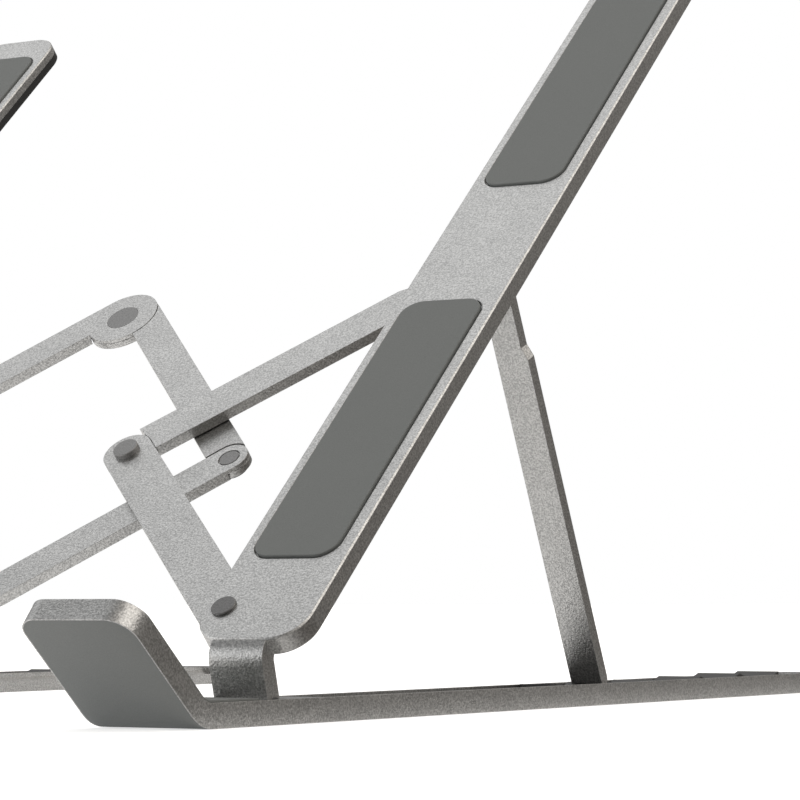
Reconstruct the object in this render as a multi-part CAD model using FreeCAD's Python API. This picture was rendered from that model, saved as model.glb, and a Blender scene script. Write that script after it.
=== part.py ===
import FreeCAD, Part
import math
import os

os.makedirs("parts", exist_ok=True)

# Folding laptop stand, millimetres, +Z up. X runs across the stand, Y from the hooks to the rear.
# The origin is on the floor, midway between the two sides and midway between hook tips and rear ends.
# Only the right-hand side (+X) is modelled; the left-hand side is its mirror image in the YZ plane.

V = FreeCAD.Vector

# ---- overall layout -------------------------------------------------------------------------
HEEL_Y = -117.8            # Y of the lower end of the top arms
HEEL_Z = 18.24             # height of the top face of a top arm at that end
INCLINE = 42.25            # slope of the top arms, degrees
COS_I = math.cos(math.radians(INCLINE))
SIN_I = math.sin(math.radians(INCLINE))
ARM_IN = 90.7              # inner and outer edges of a top arm
ARM_OUT = 118.7
ARM_LENGTH = 258.6
ARM_T = 4.8
ARM_CORNER = 8.0

# ---- pads on the top arms -------------------------------------------------------------------
PAD_X = (93.6, 115.2)
PAD_SPANS = {"lower": (25.7, 115.6), "upper": (162.0, 248.9)}
PAD_RECESS = 1.0
PAD_PROUD = 0.5
PAD_GAP = 0.35             # between a pad and the wall of its recess
PAD_CORNER = 5.0
PAD_EDGE_R = 0.25
RECESS_EDGE = 0.15         # chamfer round the recess

# ---- slide rails let into the underside of the top arms, in arm coordinates ------------------
RAIL_OUT = 99.6
RAIL_START = 40.0
RAIL_T = 2.4

# ---- base arms ------------------------------------------------------------------------------
BASE_OUT = 111.8
BASE_IN = 95.0
BASE_Z = 0.1               # the rubber feet stand this far below the metal
BASE_H = 5.35
BASE_REAR = HEEL_Y + 286.0
WALL_T = 0.9
INNER_WALL = (96.8, 98.2)  # the inner wall stands back behind a sloping shoulder
SHOULDER_Z = (3.2, 4.2)
FLOOR_TOP = 2.5
BLOCK_Y = (-3.2, 22.0)     # solid hinge block, measured from HEEL_Y
REAR_BLOCK = 11.0

HOOK_IN = 84.1
HOOK_BEND_Y = HEEL_Y - 24.57
HOOK_ANGLE = 41.0
HOOK_TIP_Y = HEEL_Y - 50.4
HOOK_CORNER = 6.0
HOOK_INNER_CORNER = 4.8
HOOK_TIP_ZONE = 4.0        # edges this close to the tip belong to its corners
BEND_OUTER_R = 11.0
BEND_INNER_R = 5.0
HOOK_PAD_T = 0.8
HOOK_PAD_RIM = 0.3
HOOK_PAD_TAIL = 5.0        # the grip pad wraps this far past the bend
CRADLE_PAD_T = 0.5
CRADLE_PAD_RIM = 0.4
CRADLE_PAD_INSET = 1.0     # distance of its end from the hook's tip

FOOT_X = (97.0, 109.5)
FOOT_T = 1.2
FOOT_CORNER = 3.0
FOOT_Y = {"front": (14.0, 54.0), "rear": (214.0, 254.0)}

# ---- notch rack -----------------------------------------------------------------------------
RACK_X = (98.4, 110.8)
RACK_START = HEEL_Y + 130.0
RACK_PITCH = 24.5
RACK_COUNT = 5
RACK_LOW_COUNT = 3         # the notches behind these stand a little higher
RACK_STEP = 0.7
RACK_TOP = 5.6
RACK_BOTTOM = FLOOR_TOP
NOTCH_R = 40.0

# ---- incline hinge and tongue ---------------------------------------------------------------
HINGE_Y = HEEL_Y + 3.84
HINGE_Z = 3.4
HINGE_PIN_R = 1.25
TONGUE_X = (97.1, 110.7)
TONGUE_T = 4.4
TONGUE_STEP = 0.4          # the tongue leaves the arm this far below its top face
TONGUE_BEND_R = 4.0
TONGUE_BEND = 63.0
TONGUE_BEND_V = 1.0
TONGUE_ROOT = 6.0          # how far the tongue runs into the arm beyond its bend
KNUCKLE_R = 2.4
KNUCKLE_OUT = 108.2
BOSS_R = 2.05
BOSS_IN = 108.4
BOSS_CLEARANCE = 0.4
POCKET_Y = (-6.6, 4.6)     # measured from the hinge axis
POCKET_SIDE = 0.3          # clearance between its inner wall and the tongue
PIN_END_WALL = 0.8         # metal left over the inner end of the hinge pin

# ---- prop leg -------------------------------------------------------------------------------
LEG_X = (102.0, 110.6)
LEG_T = 3.2
LEG_DEPRESSION = 64.9
LEG_POINT = (HEEL_Y + 149.98, 8.8)   # a point on the leg's centre line at rest
LEG_PIVOT_H = -10.8        # depth of its pivot below the arm's top face
LEG_NECK = 1.2             # the neck is this much narrower than the leg, on its outer edge
LEG_NECK_END = 15.2
LEG_NECK_RAMP = 3.1
LEG_KNUCKLE_R = 2.7
LEG_PIN_R = 1.25
NOTCH_GAP = 0.12
EAR_T = 2.2
EAR_GAP = 0.2
EAR_R = 2.9
FLANGE_T = 1.4
FLANGE_HALF = 6.0          # half its length along the arm
FLANGE_OUT = 106.0
PIN_HEAD = (2.1, 0.7)      # radius and thickness of the head sunk in the leg

# ---- lattice links, in arm coordinates (x, v along the arm, h above its top face) -----------
LINK_T = 2.6
LAYER_GAP = 0.3
H1_TOP = -(ARM_T + LAYER_GAP)
H2_TOP = H1_TOP - LINK_T - LAYER_GAP
LAP_UPPER = 0.95           # thickness of the upper layer where two links are let into each other
LAP_GAP = 0.1
RUN = 0.05                 # radial running clearance of every pivot
ELBOW_SLANT = 1.1          # the sliding link's end leans this far towards the elbow on its outer edge
ELBOW_CUT = 0.2            # gap between the elbow's round ends and the square cuts facing them
LATTICE_CUT = 0.5          # gap round a link let into the one it crosses

MAIN_ANGLE = 44.6
MAIN_LENGTH = 85.7
MAIN_R = 6.1
CROSS = 19.6               # elbow to crossing, and crossing to lattice joint
LATTICE_RISE = 57.6
LATTICE_W = 9.4
CENTRE_EYE_R = 9.5
CENTRE_RELIEF = CENTRE_EYE_R + 0.3
LATTICE_EYE_R = LATTICE_W / 2
SLIDE_LOW = 4.7            # half widths of the sliding link each side of its pivot line
SLIDE_HIGH = 6.4
SLIDE_EYE_R = 3.8
SLIDE_TAPER = (10.0, 3.0)  # the outer edge steps in between these distances from the slider
SLIDE_TAPER_LOW = 8.0      # the inner edge tapers from this distance
FOLD = 37.4                # travel of the fold, degrees

P1 = (95.3, 9.8)
COS_M = math.cos(math.radians(MAIN_ANGLE))
SIN_M = math.sin(math.radians(MAIN_ANGLE))
P2 = (P1[0] - MAIN_LENGTH * COS_M, P1[1] + MAIN_LENGTH * SIN_M)
SLIDER = (P1[0], P1[1] + 2 * MAIN_LENGTH * SIN_M)
CROSS_LOW = (P2[0] + CROSS * COS_M, P2[1] - CROSS * SIN_M)
CROSS_HIGH = (P2[0] + CROSS * COS_M, P2[1] + CROSS * SIN_M)
P4 = (P2[0] + 2 * CROSS * COS_M, P2[1])
CENTRE_HIGH = (0.0, P2[1] + LATTICE_RISE)
CENTRE_LOW = (0.0, P2[1] - LATTICE_RISE)
SLIDER_END_V = P1[1] + 2 * MAIN_LENGTH * math.sin(math.radians(MAIN_ANGLE + FOLD))

# ---- pins -----------------------------------------------------------------------------------
ARM_RIVET_R = 2.0
ARM_RIVET_HEAD = (2.9, 0.6)
ELBOW_R = 2.2
ELBOW_HEAD = (3.1, 1.3)
STUD_R = 2.0
STUD_DEPTH = 1.5
HEAD_T = 0.9
HEAD_GAP = 0.15
STUD_HEAD_R = 3.6
HEAD_EDGE = 0.25           # rounding of the heads seen from above
LATTICE_PIN_R = 1.9
LATTICE_CAP_R = 2.45
LATTICE_HEAD_R = 3.4
CAP_T = 0.46
CAP_SEAT = 0.5
CAP_RING = 0.3             # gap round the lattice pin's cap
CENTRE_PIN_R = 2.5
CENTRE_CAP_R = 4.25
CENTRE_HEAD_R = 4.6
SLOT_HEAD_R = 3.5
SLOT_LIP = 1.0
SLOT_CAVITY = RAIL_T - SLOT_LIP
SLOT_SPARE = 1.0           # extra slot length at each end of the travel
SLOT_HEAD_GAP = 0.1

EDGE = 0.35                # chamfer along the long visible edges
OVER = 1.0                 # how far a cutting shape overshoots the face it opens


# ---- helpers --------------------------------------------------------------------------------
def box(x, y, z):
    """A block from three (low, high) spans."""
    return Part.makeBox(x[1] - x[0], y[1] - y[0], z[1] - z[0], V(x[0], y[0], z[0]))


def fuse(shapes):
    """One clean solid from overlapping shapes."""
    body = shapes[0]
    for other in shapes[1:]:
        body = body.fuse(other)
    return body.removeSplitter()


def disc(centre, radius, low, high):
    """A round plug standing on the arm plane between two heights."""
    return Part.makeCylinder(radius, high - low, V(centre[0], centre[1], low))


def plate(points, low, high):
    """A flat plate with straight edges between two heights."""
    loop = [V(x, y, low) for x, y in points]
    return Part.Face(Part.makePolygon(loop + loop[:1])).extrude(V(0, 0, high - low))


def upright_edges(body):
    """The straight edges of a body that run along Z."""
    found = []
    for edge in body.Edges:
        bounds = edge.BoundBox
        if bounds.XLength < 1e-6 and bounds.YLength < 1e-6:
            found.append(edge)
    return found


def rounded_block(x, y, z, radius):
    """A block with its four upright edges rounded."""
    body = box(x, y, z)
    return body.makeFillet(radius, upright_edges(body))


def rim_edges(body, height):
    """All edges lying in the horizontal plane at this height."""
    found = []
    for edge in body.Edges:
        bounds = edge.BoundBox
        if abs(bounds.ZMin - height) < 1e-4 and abs(bounds.ZMax - height) < 1e-4:
            found.append(edge)
    return found


def tilt(body):
    """Carry a shape from arm coordinates into the stand's frame."""
    place = FreeCAD.Placement(V(0, HEEL_Y, HEEL_Z), FreeCAD.Rotation(V(1, 0, 0), INCLINE))
    moved = body.copy()
    moved.Placement = place.multiply(moved.Placement)
    return moved


def arm_point(v, h):
    """The (y, z) position of a point given by its arm coordinates."""
    return (HEEL_Y + v * COS_I - h * SIN_I, HEEL_Z + v * SIN_I + h * COS_I)


def arm_v(point):
    """Distance along the arm of a (y, z) point."""
    return (point[0] - HEEL_Y) * COS_I + (point[1] - HEEL_Z) * SIN_I


def along_x(x, y, z, radius):
    """A round bar lying along X."""
    return Part.makeCylinder(radius, x[1] - x[0], V(x[0], y, z), V(1, 0, 0))


def side_profile(points, x):
    """A shape with this (y, z) outline, running from x[0] to x[1]."""
    loop = [V(x[0], y, z) for y, z in points]
    return Part.Face(Part.makePolygon(loop + loop[:1])).extrude(V(x[1] - x[0], 0, 0))


def round_bend(body, y, z, radius):
    """Round the edge along X that passes through (y, z)."""
    for edge in body.Edges:
        bounds = edge.BoundBox
        on_y = abs(bounds.YMin - y) < 1e-3 and abs(bounds.YMax - y) < 1e-3
        on_z = abs(bounds.ZMin - z) < 1e-3 and abs(bounds.ZMax - z) < 1e-3
        if on_y and on_z:
            return body.makeFillet(radius, [edge])
    raise ValueError("no edge at the bend")


# ---- top arm --------------------------------------------------------------------------------
def arm_blank():
    """The outline of a top arm, in arm coordinates."""
    body = rounded_block((ARM_IN, ARM_OUT), (0, ARM_LENGTH), (-ARM_T, 0), ARM_CORNER)
    return body.makeChamfer(EDGE, rim_edges(body, 0) + rim_edges(body, -ARM_T))


def pad_block(span, grow, low, high):
    """The outline of a pad, larger by grow on every side."""
    x = (PAD_X[0] - grow, PAD_X[1] + grow)
    return rounded_block(x, (span[0] - grow, span[1] + grow), (low, high), PAD_CORNER + grow)


def pad_recess(span):
    """The pad's recess with a small chamfer round its mouth."""
    mouth = pad_block(span, PAD_GAP + RECESS_EDGE, -RECESS_EDGE, RECESS_EDGE)
    mouth = mouth.makeChamfer(RECESS_EDGE * 0.999, rim_edges(mouth, -RECESS_EDGE))
    return fuse([mouth, pad_block(span, PAD_GAP, -PAD_RECESS, RECESS_EDGE)])


def rail_zone():
    """The part of the arm's thickness that the slide rail takes up."""
    return box((ARM_IN - OVER, RAIL_OUT), (RAIL_START, ARM_LENGTH + OVER), (-ARM_T - OVER, RAIL_T - ARM_T))


def arm_plate():
    """The flat arm with its pad recesses, rail seat and rivet hole, in arm coordinates."""
    body = arm_blank().cut(rail_zone())
    for span in PAD_SPANS.values():
        body = body.cut(pad_recess(span))
    return body.cut(disc(P1, ARM_RIVET_R, -ARM_T - OVER, OVER))


def slide_rail():
    """The rail in which the sliding link's stud runs, in arm coordinates."""
    body = arm_blank().common(rail_zone())
    lip_high = -ARM_T + SLOT_LIP
    body = body.cut(slot(STUD_R + RUN, -ARM_T - OVER, lip_high))
    return body.cut(slot(SLOT_HEAD_R + RUN, lip_high, lip_high + SLOT_CAVITY))


def slot(radius, low, high):
    """A straight round-ended slot for the slider's whole travel."""
    start = (SLIDER[0], SLIDER[1] - SLOT_SPARE)
    end = (SLIDER[0], SLIDER_END_V + SLOT_SPARE)
    middle = box((start[0] - radius, start[0] + radius), (start[1], end[1]), (low, high))
    return fuse([middle, disc(start, radius, low, high), disc(end, radius, low, high)])


def tongue():
    """The bent tab that joins the arm to the incline hinge."""
    half = TONGUE_T / 2
    mid_h = -TONGUE_STEP - half
    start = arm_point(TONGUE_BEND_V, mid_h)
    centre = arm_point(TONGUE_BEND_V, mid_h - TONGUE_BEND_R)
    root = arm_point(TONGUE_BEND_V + TONGUE_ROOT, mid_h)
    bend_start = INCLINE + 90
    bend_end = bend_start + TONGUE_BEND
    exit_point = (centre[0] + TONGUE_BEND_R * math.cos(math.radians(bend_end)),
                  centre[1] + TONGUE_BEND_R * math.sin(math.radians(bend_end)))
    pieces = [
        strip(root, start, half, TONGUE_X),
        ring_sector(centre, TONGUE_BEND_R, half, bend_start, TONGUE_BEND, TONGUE_X),
        strip(exit_point, (HINGE_Y, HINGE_Z), half, TONGUE_X),
    ]
    tab = fuse(pieces)
    beside_boss = (KNUCKLE_OUT, ARM_OUT)
    tab = tab.cut(along_x(beside_boss, HINGE_Y, HINGE_Z, BOSS_R + BOSS_CLEARANCE))
    tab = tab.cut(box(beside_boss, (HINGE_Y - TONGUE_T, HINGE_Y + TONGUE_T), (0, HINGE_Z)))
    return fuse([tab, along_x((TONGUE_X[0], KNUCKLE_OUT), HINGE_Y, HINGE_Z, KNUCKLE_R)])


def strip(a, b, half, x):
    """A straight flat length between two (y, z) points."""
    run = math.hypot(b[0] - a[0], b[1] - a[1])
    ny = -(b[1] - a[1]) / run * half
    nz = (b[0] - a[0]) / run * half
    outline = [(a[0] + ny, a[1] + nz), (b[0] + ny, b[1] + nz),
               (b[0] - ny, b[1] - nz), (a[0] - ny, a[1] - nz)]
    return side_profile(outline, x)


def ring_sector(centre, radius, half, start, sweep, x):
    """A curved flat length about an axis along X, from one angle above +Y through a sweep."""
    uy = math.cos(math.radians(start))
    uz = math.sin(math.radians(start))
    corners = [(x[0], radius - half), (x[1], radius - half), (x[1], radius + half), (x[0], radius + half)]
    loop = [V(px, centre[0] + uy * r, centre[1] + uz * r) for px, r in corners]
    section = Part.Face(Part.makePolygon(loop + loop[:1]))
    return section.revolve(V(0, centre[0], centre[1]), V(1, 0, 0), sweep)


def top_arm():
    """One top arm with its tongue."""
    body = fuse([tilt(arm_plate()), tongue()])
    return body.cut(along_x((TONGUE_X[0] - OVER, ARM_OUT), HINGE_Y, HINGE_Z, HINGE_PIN_R + RUN))


def arm_pad(span):
    """A soft pad standing a little proud of the arm."""
    pad = pad_block(span, 0.0, -PAD_RECESS, PAD_PROUD)
    return tilt(pad.makeFillet(PAD_EDGE_R, rim_edges(pad, PAD_PROUD)))


# ---- base arm -------------------------------------------------------------------------------
HOOK_COS = math.cos(math.radians(HOOK_ANGLE))
HOOK_SIN = math.sin(math.radians(HOOK_ANGLE))
HOOK_LENGTH = (HOOK_BEND_Y - HOOK_TIP_Y) / HOOK_COS


def hook_point(run, depth):
    """(y, z) at a distance up the hook's outer face and a depth in from that face."""
    return (HOOK_BEND_Y - run * HOOK_COS + depth * HOOK_SIN,
            BASE_Z + run * HOOK_SIN + depth * HOOK_COS)


def hook_band(near, far, tip_run, y_end):
    """A band bent like the hook, between two depths below its outer face."""
    inset = math.tan(math.radians(HOOK_ANGLE / 2))
    outer = (HOOK_BEND_Y + near * inset, BASE_Z + near)
    inner = (HOOK_BEND_Y + far * inset, BASE_Z + far)
    return [outer, hook_point(tip_run, near), hook_point(tip_run, far), inner,
            (y_end, BASE_Z + far), (y_end, BASE_Z + near)]


def bent_band(near, far, tip_run, y_end, x):
    """The same band as a solid, its two bends rounded to match the hook's."""
    points = hook_band(near, far, tip_run, y_end)
    span = BEND_OUTER_R - BEND_INNER_R
    outer_r = BEND_OUTER_R - near * span / BASE_H
    inner_r = BEND_OUTER_R - far * span / BASE_H
    body = side_profile(points, x)
    body = round_bend(body, points[0][0], points[0][1], outer_r)
    return round_bend(body, points[3][0], points[3][1], inner_r)


def hook_tip_corners(body, shrink, x):
    """Round the two free corners of a hook-shaped body, the inner one more tightly."""
    for side, radius in ((x[0], HOOK_INNER_CORNER), (x[1], HOOK_CORNER)):
        corners = []
        for edge in body.Edges:
            bounds = edge.BoundBox
            at_side = abs(bounds.XMin - side) < 1e-3 and bounds.XLength < 1e-3
            at_tip = bounds.YMax < hook_point(HOOK_LENGTH - HOOK_TIP_ZONE, BASE_H)[0]
            if at_side and at_tip:
                corners.append(edge)
        body = body.makeFillet(radius - shrink, corners)
    return body


def hook_solid():
    """The upturned hook and the wide foot of the base arm behind it."""
    x = (HOOK_IN, BASE_OUT)
    body = bent_band(0, BASE_H, HOOK_LENGTH, HEEL_Y + BLOCK_Y[0], x)
    return hook_tip_corners(body, 0.0, x)


def rail_section():
    """The (x, z) outline of the open channel between the two blocks."""
    top = BASE_Z + BASE_H
    return [(BASE_OUT, BASE_Z), (BASE_OUT, top), (BASE_OUT - WALL_T, top), (BASE_OUT - WALL_T, FLOOR_TOP),
            (INNER_WALL[1], FLOOR_TOP), (INNER_WALL[1], top), (INNER_WALL[0], top),
            (INNER_WALL[0], SHOULDER_Z[1]), (BASE_IN, SHOULDER_Z[0]), (BASE_IN, BASE_Z)]


def base_rails():
    """Everything of the base arm behind the hook."""
    top = BASE_Z + BASE_H
    front = HEEL_Y + BLOCK_Y[0]
    full = (BASE_IN, BASE_OUT)
    loop = [V(x, front, z) for x, z in rail_section()]
    channel = Part.Face(Part.makePolygon(loop + loop[:1])).extrude(V(0, BASE_REAR - front, 0))
    blocks = [box(full, (front, HEEL_Y + BLOCK_Y[1]), (BASE_Z, top)),
              box(full, (BASE_REAR - REAR_BLOCK, BASE_REAR), (BASE_Z, top))]
    outline = rounded_block(full, (front - BASE_REAR, BASE_REAR), (BASE_Z, top), ARM_CORNER)
    return fuse([channel] + blocks).common(outline)


def hinge_pocket():
    """The space the tongue turns in, less the small boss that carries the pin's outer end."""
    y = (HINGE_Y + POCKET_Y[0], HINGE_Y + POCKET_Y[1])
    x = (TONGUE_X[0] - POCKET_SIDE, BASE_OUT - WALL_T)
    space = box(x, y, (BASE_Z - OVER, BASE_Z + BASE_H + OVER))
    boss_x = (BOSS_IN, BASE_OUT - WALL_T)
    boss = fuse([
        along_x(boss_x, HINGE_Y, HINGE_Z, BOSS_R),
        box(boss_x, (HINGE_Y - BOSS_R, HINGE_Y + POCKET_Y[1]), (BASE_Z, HINGE_Z)),
    ])
    return space.cut(boss)


def base_arm():
    """One base arm: hook, hinge block and channel in a single piece."""
    body = fuse([hook_solid(), base_rails()])
    body = body.cut(hinge_pocket())
    body = body.cut(along_x(hinge_pin_span(), HINGE_Y, HINGE_Z, HINGE_PIN_R))
    for span in FOOT_Y.values():
        body = body.cut(rubber_foot(span))
    return body.cut(hook_pad_blank())


def hinge_pin_span():
    """The hinge pin's span in X, hidden at both ends."""
    return (BASE_IN + PIN_END_WALL, BASE_OUT - WALL_T)


def hook_pad_blank():
    """The grip pad let into the hook's outer face."""
    x = (HOOK_IN + HOOK_PAD_RIM, BASE_OUT - HOOK_PAD_RIM)
    body = bent_band(0, HOOK_PAD_T, HOOK_LENGTH - HOOK_PAD_RIM, HOOK_BEND_Y + HOOK_PAD_TAIL, x)
    return hook_tip_corners(body, HOOK_PAD_RIM, x)


def cradle_pad():
    """The lining of the hook's inner side, which runs back to the hinge pocket."""
    x = (HOOK_IN + CRADLE_PAD_RIM, BASE_OUT - CRADLE_PAD_RIM)
    far = BASE_H + CRADLE_PAD_T
    run = HOOK_LENGTH - CRADLE_PAD_INSET
    body = bent_band(BASE_H, far, run, HEEL_Y + BLOCK_Y[0], x)
    return hook_tip_corners(body, CRADLE_PAD_RIM, x)


def rubber_foot(span):
    """A foot let into the underside of the base arm."""
    y = (HEEL_Y + span[0], HEEL_Y + span[1])
    return rounded_block(FOOT_X, y, (0, FOOT_T), FOOT_CORNER)


def hinge_pin():
    """The pin of the incline hinge."""
    return along_x(hinge_pin_span(), HINGE_Y, HINGE_Z, HINGE_PIN_R)


# ---- notch rack -----------------------------------------------------------------------------
def notch_centre(index):
    """(y, z) of the centre of one notch's arc."""
    half = RACK_PITCH / 2
    rise = math.sqrt(NOTCH_R ** 2 - half ** 2)
    step = RACK_STEP if index >= RACK_LOW_COUNT else 0.0
    return (RACK_START + RACK_PITCH * index + half, RACK_TOP + step + rise)


def notch_rack():
    """The scalloped strip lying in the base arm's channel."""
    low_end = RACK_START + RACK_PITCH * RACK_LOW_COUNT
    end = RACK_START + RACK_PITCH * RACK_COUNT
    body = fuse([
        box(RACK_X, (RACK_START, end), (RACK_BOTTOM, RACK_TOP)),
        box(RACK_X, (low_end, end), (RACK_BOTTOM, RACK_TOP + RACK_STEP)),
    ])
    for index in range(RACK_COUNT):
        y, z = notch_centre(index)
        body = body.cut(along_x((RACK_X[0] - OVER, RACK_X[1] + OVER), y, z, NOTCH_R))
    return body


# ---- prop leg -------------------------------------------------------------------------------
def leg_axis():
    """The leg's pivot, its foot centre and its length, in the stand's (y, z) plane."""
    dy = math.cos(math.radians(LEG_DEPRESSION))
    dz = -math.sin(math.radians(LEG_DEPRESSION))
    height = -(LEG_POINT[0] - HEEL_Y) * SIN_I + (LEG_POINT[1] - HEEL_Z) * COS_I
    slope = -dy * SIN_I + dz * COS_I
    t = (LEG_PIVOT_H - height) / slope
    pivot = (LEG_POINT[0] + t * dy, LEG_POINT[1] + t * dz)
    centre = notch_centre(0)
    reach = NOTCH_R - LEG_T / 2 - NOTCH_GAP
    oy = pivot[0] - centre[0]
    oz = pivot[1] - centre[1]
    b = oy * dy + oz * dz
    length = -b + math.sqrt(b * b - (oy * oy + oz * oz - reach * reach))
    return pivot, length


def prop_leg():
    """The leg hanging straight down from its pivot, then swung to its rest angle."""
    pivot, length = leg_axis()
    half = LEG_T / 2
    outline = [(LEG_X[0], 0), (LEG_X[1] - LEG_NECK, 0), (LEG_X[1] - LEG_NECK, -LEG_NECK_END),
               (LEG_X[1], -LEG_NECK_END - LEG_NECK_RAMP), (LEG_X[1], -length), (LEG_X[0], -length)]
    loop = [V(x, -half, z) for x, z in outline]
    bar = Part.Face(Part.makePolygon(loop + loop[:1])).extrude(V(0, LEG_T, 0))
    neck = (LEG_X[0], LEG_X[1] - LEG_NECK)
    body = fuse([bar, along_x(neck, 0, 0, LEG_KNUCKLE_R), along_x(LEG_X, 0, -length, half)])
    body = body.cut(along_x((LEG_X[0] - OVER, LEG_X[1] + OVER), 0, 0, LEG_PIN_R + RUN))
    head_r, head_t = PIN_HEAD
    body = body.cut(along_x((neck[1] - head_t - RUN, LEG_X[1] + OVER), 0, 0, head_r + RUN))
    body.rotate(V(0, 0, 0), V(1, 0, 0), 90 - LEG_DEPRESSION)
    body.translate(V(0, pivot[0], pivot[1]))
    return body


def prop_ear():
    """The span in X of the bracket's ear, which stands beside the leg's inner face."""
    return (LEG_X[0] - EAR_GAP - EAR_T, LEG_X[0] - EAR_GAP)


def prop_bracket():
    """An angle bracket under the top arm whose ear carries the leg's pin."""
    v = arm_v(leg_axis()[0])
    ear = prop_ear()
    under = -ARM_T
    body = fuse([
        box((ear[0], FLANGE_OUT), (v - FLANGE_HALF, v + FLANGE_HALF), (under - FLANGE_T, under)),
        box(ear, (v - EAR_R, v + EAR_R), (LEG_PIVOT_H, under)),
        along_x(ear, v, LEG_PIVOT_H, EAR_R),
    ])
    return tilt(body.cut(along_x((ear[0] - OVER, ear[1] + OVER), v, LEG_PIVOT_H, LEG_PIN_R)))


def prop_pin():
    """Fixed in the bracket's ear, with a flat head let into the leg's neck."""
    y, z = leg_axis()[0]
    head_r, head_t = PIN_HEAD
    end = LEG_X[1] - LEG_NECK
    return fuse([along_x((prop_ear()[0], end), y, z, LEG_PIN_R), along_x((end - head_t, end), y, z, head_r)])


# ---- lattice links --------------------------------------------------------------------------
def unit(a, b):
    """The direction from a to b."""
    run = math.hypot(b[0] - a[0], b[1] - a[1])
    return ((b[0] - a[0]) / run, (b[1] - a[1]) / run)


def offset_bar(a, b, left_a, right_a, low, high):
    """A straight bar from a to b, reaching left_a and right_a either side of the line."""
    ux, uy = unit(a, b)
    corners = [(a, left_a), (b, left_a), (b, -right_a), (a, -right_a)]
    return plate([(p[0] - uy * s, p[1] + ux * s) for p, s in corners], low, high)


def lap_heights(top, upper):
    """The heights of the upper or lower part of a link with its top at this height."""
    if upper:
        return (top - LAP_UPPER, top)
    return (top - LINK_T, top - LAP_UPPER - LAP_GAP)


def step_towards(a, b, distance):
    """The point this far from a on the line to b."""
    ux, uy = unit(a, b)
    return (a[0] + ux * distance, a[1] + uy * distance)


def main_blank():
    """The main link, its upper layer carrying the round end at the elbow."""
    low = H1_TOP - LINK_T
    lap = lap_heights(H1_TOP, True)
    square_end = step_towards(P2, P1, MAIN_R + ELBOW_CUT)
    return fuse([offset_bar(P1, square_end, MAIN_R, MAIN_R, low, H1_TOP),
                 offset_bar(P1, P2, MAIN_R, MAIN_R, *lap),
                 disc(P1, MAIN_R, low, H1_TOP), disc(P2, MAIN_R, *lap)])


def slide_blank():
    """The sliding link: its lower layer forms the elbow and its far end is blunt, under the arm."""
    low = H1_TOP - LINK_T
    lap = lap_heights(H1_TOP, False)
    ux, uy = unit(P2, SLIDER)
    start = MAIN_R + ELBOW_CUT
    chain = [(start, 0), (start - ELBOW_SLANT, SLIDE_HIGH), (MAIN_LENGTH - SLIDE_TAPER[0], SLIDE_HIGH),
             (MAIN_LENGTH - SLIDE_TAPER[1], SLIDE_EYE_R), (MAIN_LENGTH, SLIDE_EYE_R),
             (MAIN_LENGTH, -SLIDE_EYE_R), (MAIN_LENGTH - SLIDE_TAPER_LOW, -SLIDE_LOW), (start, -SLIDE_LOW)]
    outline = [(P2[0] + ux * t - uy * s, P2[1] + uy * t + ux * s) for t, s in chain]
    square_end = step_towards(P2, SLIDER, start)
    return fuse([plate(outline, low, H1_TOP), offset_bar(P2, square_end, SLIDE_LOW, SLIDE_LOW, *lap),
                 disc(P2, MAIN_R, *lap), disc(SLIDER, SLIDE_EYE_R, low, H1_TOP)])


def lattice_blank(centre, side, heights, grow=0.0):
    """A lattice link from P4 to a centre eye, its outer edge touching both eyes.

    side is +1 when the outer edge is on the upper side of the link.
    grow makes the outline larger all round.
    """
    low, high = heights
    run = math.hypot(P4[0] - centre[0], P4[1] - centre[1])
    swing = math.asin((CENTRE_EYE_R - LATTICE_EYE_R) / run)
    ux, uy = unit(centre, P4)
    turn = -side * swing
    dx = ux * math.cos(turn) - uy * math.sin(turn)
    dy = ux * math.sin(turn) + uy * math.cos(turn)
    nx, ny = -dy * side, dx * side
    length = run * math.cos(swing)
    eye = CENTRE_EYE_R + grow
    width = LATTICE_W + 2 * grow
    outer = (centre[0] + nx * eye, centre[1] + ny * eye)
    inner = (outer[0] - nx * width, outer[1] - ny * width)
    outline = [outer, (outer[0] + dx * length, outer[1] + dy * length),
               (inner[0] + dx * length, inner[1] + dy * length), inner]
    return fuse([plate(outline, low, high), disc(centre, eye, low, high),
                 disc(P4, LATTICE_EYE_R + grow, low, high)])


def relief_heights(keep_upper):
    """The heights cut away from a lattice link where only one layer is kept."""
    if keep_upper:
        return (H2_TOP - LINK_T - OVER, lap_heights(H2_TOP, True)[0])
    return (lap_heights(H2_TOP, False)[1], H2_TOP + OVER)


def lattice_link(centre, other, side, upper, centre_upper):
    """A lattice link let into the other one at P4 and into its mirror partner at the centre."""
    body = lattice_blank(centre, side, (H2_TOP - LINK_T, H2_TOP))
    body = body.cut(lattice_blank(other, -side, relief_heights(upper), LATTICE_CUT))
    return body.cut(disc(centre, CENTRE_RELIEF, *relief_heights(centre_upper)))


def bored(body, centre, radius):
    """A link with a hole through it."""
    return body.cut(disc(centre, radius, H2_TOP - LINK_T - OVER, H1_TOP + OVER))


def main_link():
    """The link from the arm rivet to the elbow."""
    body = bored(main_blank(), P1, ARM_RIVET_R + RUN)
    body = bored(body, P2, ELBOW_R)
    low = H1_TOP - LINK_T
    return body.cut(disc(CROSS_LOW, STUD_R, low - OVER, low + STUD_DEPTH))


def slide_link():
    """The link from the elbow to the slider."""
    body = bored(slide_blank(), P2, ELBOW_R + RUN)
    body = bored(body, SLIDER, STUD_R)
    low = H1_TOP - LINK_T
    return body.cut(disc(CROSS_HIGH, STUD_R, low - OVER, low + STUD_DEPTH))


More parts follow.
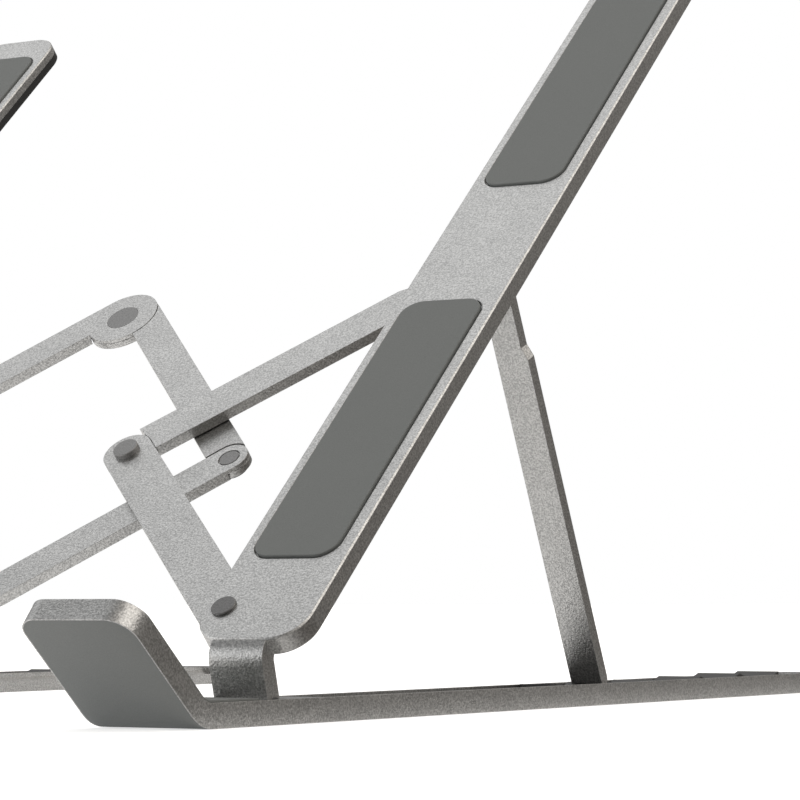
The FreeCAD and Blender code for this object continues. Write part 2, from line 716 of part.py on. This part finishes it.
def lattice_low_link(centre_upper):
    """The link from P4 down to the lower centre joint."""
    body = lattice_link(CENTRE_LOW, CENTRE_HIGH, -1, True, centre_upper)
    body = bored(body, P4, LATTICE_PIN_R)
    body = body.cut(disc(P4, LATTICE_CAP_R + CAP_RING, H2_TOP - CAP_SEAT, H2_TOP + OVER))
    body = bored(body, CROSS_LOW, STUD_R + RUN)
    return centre_bore(body, CENTRE_LOW, centre_upper, 0.0 if centre_upper else RUN)


def lattice_high_link(centre_upper):
    """The link from P4 up to the upper centre joint."""
    body = lattice_link(CENTRE_HIGH, CENTRE_LOW, 1, False, centre_upper)
    body = bored(body, P4, LATTICE_PIN_R + RUN)
    body = bored(body, CROSS_HIGH, STUD_R + RUN)
    return centre_bore(body, CENTRE_HIGH, centre_upper, RUN if centre_upper else 0.0)


def centre_bore(body, centre, centre_upper, clearance):
    """The centre pin's hole, with a seat for its flush cap in the upper eye."""
    body = bored(body, centre, CENTRE_PIN_R + clearance)
    if centre_upper:
        seat = disc(centre, CENTRE_CAP_R + RUN, H2_TOP - CAP_SEAT, H2_TOP + OVER)
        body = body.cut(seat)
    return body


# ---- link pins ------------------------------------------------------------------------------
def arm_rivet():
    """Joins the main link to the top arm; its shank is fixed in the arm."""
    low = H1_TOP - LINK_T - HEAD_GAP
    head_r, head_t = ARM_RIVET_HEAD
    head = disc(P1, head_r, 0, head_t)
    head = head.makeFillet(HEAD_EDGE, rim_edges(head, head_t))
    return fuse([head, disc(P1, ARM_RIVET_R, low, 0), disc(P1, STUD_HEAD_R, low - HEAD_T, low)])


def elbow_pin():
    """Joins the main and sliding links; fixed in the main link and flush underneath."""
    head_r, head_t = ELBOW_HEAD
    head = disc(P2, head_r, H1_TOP, H1_TOP + head_t)
    head = head.makeFillet(HEAD_EDGE, rim_edges(head, H1_TOP + head_t))
    return fuse([head, disc(P2, ELBOW_R, H1_TOP - LINK_T, H1_TOP)])


def cross_stud(centre):
    """Let into the underside of the upper layer, with its head below the lower one."""
    high = H1_TOP - LINK_T + STUD_DEPTH
    low = H2_TOP - LINK_T - HEAD_GAP
    return fuse([disc(centre, STUD_R, low, high), disc(centre, STUD_HEAD_R, low - HEAD_T, low)])


def slider_stud():
    """Fixed in the sliding link; its head runs in the slot under the arm."""
    head_low = -ARM_T + SLOT_LIP + SLOT_HEAD_GAP
    head_high = -ARM_T + SLOT_LIP + SLOT_CAVITY - SLOT_HEAD_GAP
    return fuse([disc(SLIDER, STUD_R, H1_TOP - LINK_T, head_low),
                 disc(SLIDER, SLOT_HEAD_R, head_low, head_high)])


def capped_pin(centre, shank_r, cap_r, head_r, gap):
    """A pin with a thin cap flush with the upper eye and a head under the lower one."""
    low = H2_TOP - LINK_T - gap
    return fuse([disc(centre, cap_r, H2_TOP - CAP_T, H2_TOP),
                 disc(centre, shank_r, low, H2_TOP - CAP_T),
                 disc(centre, head_r, low - HEAD_T, low)])


# ---- export ---------------------------------------------------------------------------------
def write(node, body):
    """Save one piece, which has to be a single sound solid."""
    solid = body.Solids[0] if len(body.Solids) == 1 else body
    if len(body.Solids) != 1 or not solid.isValid():
        raise ValueError(node + " is not one valid solid")
    solid.exportStep("parts/" + node + ".step")


def write_pair(name, body):
    """The right-hand piece and its mirror image."""
    write("right_" + name, body)
    write("left_" + name, mirrored(body))


def mirrored(body):
    """The same shape on the other side of the YZ plane."""
    return body.mirror(V(0, 0, 0), V(1, 0, 0))


def main():
    write_pair("base_arm", base_arm())
    write_pair("hook_grip_pad", hook_pad_blank())
    write_pair("cradle_pad", cradle_pad())
    write_pair("notch_rack", notch_rack())
    for name, span in FOOT_Y.items():
        write_pair(name + "_foot", rubber_foot(span))
    write_pair("hinge_pin", hinge_pin())

    write_pair("top_arm", top_arm())
    for name, span in PAD_SPANS.items():
        write_pair(name + "_rest_pad", arm_pad(span))
    write_pair("slide_rail", tilt(slide_rail()))
    write_pair("prop_bracket", prop_bracket())
    write_pair("prop_pin", prop_pin())
    write_pair("prop_leg", prop_leg())

    write_pair("main_link", tilt(main_link()))
    write_pair("slide_link", tilt(slide_link()))
    write_pair("arm_rivet", tilt(arm_rivet()))
    write_pair("elbow_pin", tilt(elbow_pin()))
    write_pair("lower_cross_stud", tilt(cross_stud(CROSS_LOW)))
    write_pair("upper_cross_stud", tilt(cross_stud(CROSS_HIGH)))
    write_pair("slider_stud", tilt(slider_stud()))
    lattice_pin = capped_pin(P4, LATTICE_PIN_R, LATTICE_CAP_R, LATTICE_HEAD_R, HEAD_GAP)
    write_pair("lattice_pin", tilt(lattice_pin))

    write("right_lower_lattice_link", tilt(lattice_low_link(True)))
    write("left_lower_lattice_link", mirrored(tilt(lattice_low_link(False))))
    write("right_upper_lattice_link", tilt(lattice_high_link(False)))
    write("left_upper_lattice_link", mirrored(tilt(lattice_high_link(True))))
    low_pin = capped_pin(CENTRE_LOW, CENTRE_PIN_R, CENTRE_CAP_R, CENTRE_HEAD_R, HEAD_GAP)
    high_pin = capped_pin(CENTRE_HIGH, CENTRE_PIN_R, CENTRE_CAP_R, CENTRE_HEAD_R, 0.0)
    write("lower_centre_pin", tilt(low_pin))
    write("upper_centre_pin", tilt(high_pin))


main()
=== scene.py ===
import math

import bpy
from mathutils import Matrix, Vector

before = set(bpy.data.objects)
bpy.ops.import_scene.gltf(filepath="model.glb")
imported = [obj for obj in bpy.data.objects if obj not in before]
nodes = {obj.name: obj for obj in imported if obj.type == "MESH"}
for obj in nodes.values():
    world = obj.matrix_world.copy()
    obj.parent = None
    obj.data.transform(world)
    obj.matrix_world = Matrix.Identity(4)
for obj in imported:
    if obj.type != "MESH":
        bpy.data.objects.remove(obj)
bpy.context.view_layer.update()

MM = 0.001
WHITE = (1.0, 1.0, 1.0)

# Camera: a long lens close to the floor, looking slightly up past the right-hand hook.
CAMERA_PLACE = (0.49186, -0.684119, 0.0263)
CAMERA_AZIMUTH = math.radians(31.558)
CAMERA_PITCH = math.radians(3.51)
CAMERA_ROLL = math.radians(-0.161)
CAMERA_LENS = 146.4
CAMERA_SENSOR = 36.0
CAMERA_CLIP = (0.02, 40.0)

# Faces that meet at more than this angle keep a crisp edge.
CREASE = math.radians(28)

# The darkest and the lightest tone in each material's grain.
ALUMINIUM_TONES = ((0.345, 0.345, 0.342), (0.585, 0.585, 0.577))
# The rack's near-black tones are painted shade: the dark of the channel it sits in, put into its
# colour.
RACK_SHADE_TONES = ((0.03, 0.03, 0.03), (0.06, 0.06, 0.06))
REST_TONES = ((0.156, 0.167, 0.165), (0.194, 0.205, 0.203))
GRIP_TONES = ((0.15, 0.158, 0.155), (0.188, 0.196, 0.193))
FOOT_TONES = ((0.03, 0.03, 0.03), (0.05, 0.05, 0.05))
NYLON_TONES = ((0.012, 0.012, 0.012), (0.022, 0.022, 0.022))
PIN_TONES = ((0.13, 0.13, 0.13), (0.23, 0.23, 0.23))
CAP_TONES = ((0.2, 0.2, 0.2), (0.32, 0.32, 0.32))

# Floor: near white to the camera. In light and reflections it is pale up to the right-hand base arm
# and dark and warm from there outwards. FLOOR_EDGE is where it turns, in metres along X.
FLOOR_HALF = 12.0
FLOOR_SEEN = ((0.88, 0.88, 0.88), (0.92, 0.92, 0.92))
# Painted light and painted reflection: in light and reflections the floor is pale and glowing on the
# left and dark on the right, to brighten and shade the stand's faces.
FLOOR_LEFT = (0.98, 0.98, 0.98)
FLOOR_RIGHT = (0.2, 0.19, 0.18)
FLOOR_EDGE = (0.1, 0.145)
FLOOR_GLOW_SEEN = 0.6
FLOOR_GLOW_LEFT = 0.33
FLOOR_GLOW_RIGHT = 0.02

# Room: how bright the wall is at the front left, front right and back, and the ceiling from front to
# back, with more on the right.
WALL_FRONT_LEFT = 1.5
WALL_FRONT_RIGHT = 0.3
WALL_BACK = 0.26
CEILING_FRONT = 0.3
CEILING_BACK = 0.78
CEILING_RIGHT = 1.15
WARM = (1.0, 0.95, 0.89)

# Where the room turns from one to the next, along X, Y or Z of the unit direction.
WALL_TURNS_RIGHT = (-0.45, -0.05)
WALL_TURNS_BACK = (0.0, 0.5)
CEILING_TURNS_BACK = (-0.4, 0.15)
CEILING_TURNS_RIGHT = (0.15, 0.45)
WALL_MEETS_CEILING = (0.28, 0.62)
TURNS_WARM = (-0.4, 0.1)

# The soft light overhead, behind and to the left.
LIGHT_PLACE = (-0.7, 0.4, 1.5)
LIGHT_TARGET = (0.05, 0.0, 0.05)
LIGHT_SIZE = 1.2
LIGHT_POWER = 2.0


# ---- camera ---------------------------------------------------------------------------------
def make_camera():
    """Place the camera by its direction of view and its roll."""
    forward = Vector((-math.sin(CAMERA_AZIMUTH) * math.cos(CAMERA_PITCH),
                      math.cos(CAMERA_AZIMUTH) * math.cos(CAMERA_PITCH),
                      math.sin(CAMERA_PITCH)))
    level = Vector((math.cos(CAMERA_AZIMUTH), math.sin(CAMERA_AZIMUTH), 0.0))
    above = level.cross(forward)
    right = level * math.cos(CAMERA_ROLL) + above * math.sin(CAMERA_ROLL)
    up = above * math.cos(CAMERA_ROLL) - level * math.sin(CAMERA_ROLL)
    data = bpy.data.cameras.new("camera")
    data.sensor_width = CAMERA_SENSOR
    data.lens = CAMERA_LENS
    data.clip_start, data.clip_end = CAMERA_CLIP
    camera = bpy.data.objects.new("camera", data)
    bpy.context.scene.collection.objects.link(camera)
    turn = Matrix((right, up, -forward)).transposed()
    camera.matrix_world = Matrix.Translation(CAMERA_PLACE) @ turn.to_4x4()
    bpy.context.scene.camera = camera


# ---- node helpers ---------------------------------------------------------------------------
def new_material(name):
    """Start a node material and return it with its tree and its main shader."""
    material = bpy.data.materials.new(name)
    material.use_nodes = True
    tree = material.node_tree
    return material, tree, tree.nodes["Principled BSDF"]


def object_coords(tree):
    """Give the piece's own coordinates, in metres."""
    return tree.nodes.new("ShaderNodeTexCoord").outputs["Object"]


def noise(tree, coords, size, detail=2.0, roughness=0.5):
    """Noise whose features are about this many metres across."""
    node = tree.nodes.new("ShaderNodeTexNoise")
    node.inputs["Scale"].default_value = 1.0 / size
    node.inputs["Detail"].default_value = detail
    node.inputs["Roughness"].default_value = roughness
    tree.links.new(coords, node.inputs["Vector"])
    return node.outputs["Fac"]


def ramp(tree, source, low, high, dark, light):
    """Map a value between two levels to two greys or colours."""
    node = tree.nodes.new("ShaderNodeValToRGB")
    node.color_ramp.elements[0].position = low
    node.color_ramp.elements[0].color = (*dark, 1.0)
    node.color_ramp.elements[1].position = high
    node.color_ramp.elements[1].color = (*light, 1.0)
    tree.links.new(source, node.inputs["Fac"])
    return node.outputs["Color"]


def spread(tree, source, low, high):
    """Map 0..1 to a range of numbers."""
    node = tree.nodes.new("ShaderNodeMapRange")
    node.inputs["To Min"].default_value = low
    node.inputs["To Max"].default_value = high
    tree.links.new(source, node.inputs["Value"])
    return node.outputs["Result"]


def swell(tree, source, levels, start=0.0, end=1.0):
    """Go smoothly from one number to another as the source runs between two levels."""
    node = tree.nodes.new("ShaderNodeMapRange")
    node.interpolation_type = "SMOOTHSTEP"
    node.inputs["From Min"].default_value = levels[0]
    node.inputs["From Max"].default_value = levels[1]
    node.inputs["To Min"].default_value = start
    node.inputs["To Max"].default_value = end
    tree.links.new(source, node.inputs["Value"])
    return node.outputs["Result"]


def split_axes(tree, vector):
    """Give the x, y and z of a vector."""
    node = tree.nodes.new("ShaderNodeSeparateXYZ")
    tree.links.new(vector, node.inputs["Vector"])
    return [node.outputs[axis] for axis in "XYZ"]


def seen_by_camera(tree):
    """Give 1 where the camera looks straight at it and 0 for light and reflections."""
    return tree.nodes.new("ShaderNodeLightPath").outputs["Is Camera Ray"]


def add(tree, a, b):
    """Add two numbers."""
    node = tree.nodes.new("ShaderNodeMath")
    tree.links.new(a, node.inputs[0])
    tree.links.new(b, node.inputs[1])
    return node.outputs["Value"]


def mix_number(tree, factor, a, b):
    """Mix two numbers; the second may be a plain value."""
    node = tree.nodes.new("ShaderNodeMix")
    tree.links.new(factor, node.inputs["Factor"])
    tree.links.new(a, node.inputs["A"])
    if isinstance(b, float):
        node.inputs["B"].default_value = b
    else:
        tree.links.new(b, node.inputs["B"])
    return node.outputs["Result"]


def blend_colour(tree, factor, a, b, mode="MIX"):
    """Mix two colours; the factor and the second colour may be plain values."""
    node = tree.nodes.new("ShaderNodeMix")
    node.data_type = "RGBA"
    node.blend_type = mode
    if isinstance(factor, float):
        node.inputs["Factor"].default_value = factor
    else:
        tree.links.new(factor, node.inputs["Factor"])
    tree.links.new(a, node.inputs["A"])
    if isinstance(b, tuple):
        node.inputs["B"].default_value = (*b, 1.0)
    else:
        tree.links.new(b, node.inputs["B"])
    return node.outputs["Result"]


def bump(tree, height, distance, strength, normal):
    """Raise fine relief on top of a normal."""
    node = tree.nodes.new("ShaderNodeBump")
    node.inputs["Strength"].default_value = strength
    node.inputs["Distance"].default_value = distance
    tree.links.new(height, node.inputs["Height"])
    tree.links.new(normal, node.inputs["Normal"])
    return node.outputs["Normal"]


def eased_edges(tree, radius):
    """Make a normal that rounds each sharp edge by a small radius."""
    node = tree.nodes.new("ShaderNodeBevel")
    node.samples = 4
    node.inputs["Radius"].default_value = radius
    return node.outputs["Normal"]


# ---- materials ------------------------------------------------------------------------------
def blasted_aluminium(name, dark, light):
    """Bead-blasted, clear-anodised aluminium: fine sparkle, faint mottling, softly broken edges."""
    material, tree, shader = new_material(name)
    coords = object_coords(tree)
    grain = noise(tree, coords, 0.45 * MM, detail=2.0, roughness=0.6)
    mottle = noise(tree, coords, 9.0 * MM, detail=3.0, roughness=0.5)
    colour = ramp(tree, grain, 0.38, 0.62, dark, light)
    tint = ramp(tree, mottle, 0.35, 0.65, (0.94, 0.94, 0.94), WHITE)
    colour = blend_colour(tree, 1.0, colour, tint, "MULTIPLY")
    tree.links.new(colour, shader.inputs["Base Color"])
    shader.inputs["Metallic"].default_value = 1.0
    tree.links.new(spread(tree, grain, 0.26, 0.38), shader.inputs["Roughness"])
    blast = noise(tree, coords, 0.5 * MM, detail=2.0, roughness=0.6)
    normal = bump(tree, blast, 0.12 * MM, 0.8, eased_edges(tree, 0.22 * MM))
    tree.links.new(normal, shader.inputs["Normal"])
    return material


def silicone(name, dark, light):
    """Matt silicone, rubber or nylon with a very fine moulded texture."""
    material, tree, shader = new_material(name)
    coords = object_coords(tree)
    grain = noise(tree, coords, 0.25 * MM, detail=2.0, roughness=0.6)
    cloud = noise(tree, coords, 14.0 * MM, detail=3.0, roughness=0.5)
    colour = ramp(tree, grain, 0.25, 0.75, dark, light)
    tint = ramp(tree, cloud, 0.3, 0.7, (0.96, 0.96, 0.96), WHITE)
    tree.links.new(blend_colour(tree, 1.0, colour, tint, "MULTIPLY"), shader.inputs["Base Color"])
    tree.links.new(spread(tree, cloud, 0.62, 0.74), shader.inputs["Roughness"])
    shader.inputs["Specular IOR Level"].default_value = 0.35
    tree.links.new(bump(tree, grain, 0.03 * MM, 0.25, eased_edges(tree, 0.25 * MM)),
                   shader.inputs["Normal"])
    return material


def satin_steel(name, dark, light, metallic=0.85):
    """Satin steel with a fine turned grain; it can be made less metallic, as for the rack, whose
    near-black tones are painted shade.
    """
    material, tree, shader = new_material(name)
    coords = object_coords(tree)
    grain = noise(tree, coords, 0.28 * MM, detail=2.0, roughness=0.55)
    tree.links.new(ramp(tree, grain, 0.3, 0.7, dark, light), shader.inputs["Base Color"])
    shader.inputs["Metallic"].default_value = metallic
    tree.links.new(spread(tree, grain, 0.42, 0.55), shader.inputs["Roughness"])
    tree.links.new(bump(tree, grain, 0.03 * MM, 0.3, eased_edges(tree, 0.15 * MM)),
                   shader.inputs["Normal"])
    return material


def paint(material, *names):
    """Give a material to these nodes, which are single or come as a right and a left one."""
    for name in names:
        for node_name in (name, "right_" + name, "left_" + name):
            if node_name in nodes:
                nodes[node_name].data.materials.clear()
                nodes[node_name].data.materials.append(material)


def smooth_round_faces():
    """Shade curved faces smoothly and keep real corners crisp."""
    for obj in nodes.values():
        obj.data.shade_smooth()
        obj.data.set_sharp_from_angle(angle=CREASE)


def dress():
    """Give every node its material."""
    paint(blasted_aluminium("blasted_aluminium", *ALUMINIUM_TONES),
          "base_arm", "top_arm", "prop_leg", "main_link", "slide_link",
          "lower_lattice_link", "upper_lattice_link", "prop_bracket")
    # The rack is near black and less metallic: painted shade of the channel around it.
    paint(satin_steel("rack_painted_shade", *RACK_SHADE_TONES, metallic=0.3), "notch_rack")
    paint(silicone("rest_silicone", *REST_TONES), "lower_rest_pad", "upper_rest_pad")
    paint(silicone("grip_silicone", *GRIP_TONES), "hook_grip_pad", "cradle_pad")
    paint(silicone("foot_rubber", *FOOT_TONES), "front_foot", "rear_foot")
    paint(silicone("rail_nylon", *NYLON_TONES), "slide_rail")
    paint(satin_steel("pin_steel", *PIN_TONES),
          "hinge_pin", "prop_pin", "arm_rivet",
          "lower_cross_stud", "upper_cross_stud", "slider_stud")
    paint(satin_steel("cap_steel", *CAP_TONES),
          "elbow_pin", "lattice_pin", "lower_centre_pin", "upper_centre_pin")


# ---- studio ---------------------------------------------------------------------------------
def floor_material():
    """The floor's look: plain white for the camera, pale or dark in reflections."""
    material, tree, shader = new_material("floor")
    coords = object_coords(tree)
    seen = seen_by_camera(tree)
    x, _, _ = split_axes(tree, coords)
    side = swell(tree, x, FLOOR_EDGE)
    cloud = ramp(tree, noise(tree, coords, 0.5), 0.3, 0.7, *FLOOR_SEEN)
    reflected = ramp(tree, side, 0.0, 1.0, FLOOR_LEFT, FLOOR_RIGHT)
    glow = spread(tree, side, FLOOR_GLOW_LEFT, FLOOR_GLOW_RIGHT)
    tree.links.new(blend_colour(tree, seen, reflected, cloud), shader.inputs["Base Color"])
    shader.inputs["Roughness"].default_value = 0.9
    shader.inputs["Specular IOR Level"].default_value = 0.0
    shader.inputs["Emission Color"].default_value = (*WHITE, 1.0)
    tree.links.new(mix_number(tree, seen, glow, FLOOR_GLOW_SEEN), shader.inputs["Emission Strength"])
    return material


def make_floor():
    """A pale floor that reads as white without hiding the soft shadow under the stand."""
    mesh = bpy.data.meshes.new("floor")
    corners = [(-1, -1), (1, -1), (1, 1), (-1, 1)]
    mesh.from_pydata([(x * FLOOR_HALF, y * FLOOR_HALF, 0.0) for x, y in corners], [], [(0, 1, 2, 3)])
    mesh.materials.append(floor_material())
    floor = bpy.data.objects.new("floor", mesh)
    bpy.context.scene.collection.objects.link(floor)


def make_light():
    """Hang a square light and aim it at the stand."""
    data = bpy.data.lights.new("overhead", "AREA")
    data.shape = "SQUARE"
    data.size = LIGHT_SIZE
    data.energy = LIGHT_POWER
    light = bpy.data.objects.new("overhead", data)
    bpy.context.scene.collection.objects.link(light)
    aim = (Vector(LIGHT_TARGET) - Vector(LIGHT_PLACE)).to_track_quat("-Z", "Y").to_matrix().to_4x4()
    light.matrix_world = Matrix.Translation(LIGHT_PLACE) @ aim


def make_room():
    """A bright room: a dark warm wall on the right and behind, and white to the camera."""
    world = bpy.data.worlds.new("studio")
    world.use_nodes = True
    tree = world.node_tree
    background = tree.nodes["Background"]
    direction = tree.nodes.new("ShaderNodeTexCoord").outputs["Generated"]
    x, y, z = split_axes(tree, direction)
    front = swell(tree, x, WALL_TURNS_RIGHT, WALL_FRONT_LEFT, WALL_FRONT_RIGHT)
    wall = mix_number(tree, swell(tree, y, WALL_TURNS_BACK), front, WALL_BACK)
    ceiling = add(tree, swell(tree, y, CEILING_TURNS_BACK, CEILING_FRONT, CEILING_BACK),
                  swell(tree, x, CEILING_TURNS_RIGHT, 0.0, CEILING_RIGHT))
    level = mix_number(tree, swell(tree, z, WALL_MEETS_CEILING), wall, ceiling)
    warmth = ramp(tree, swell(tree, x, TURNS_WARM), 0.0, 1.0, WHITE, WARM)
    seen = seen_by_camera(tree)
    tree.links.new(blend_colour(tree, seen, warmth, WHITE), background.inputs["Color"])
    tree.links.new(mix_number(tree, seen, level, 1.0), background.inputs["Strength"])
    bpy.context.scene.world = world


def make_studio():
    """Build the floor, the room and its soft light, and show colours as they are."""
    make_floor()
    make_room()
    make_light()
    bpy.context.scene.view_settings.view_transform = "Standard"
    bpy.context.scene.view_settings.look = "None"


make_camera()
smooth_round_faces()
dress()
make_studio()
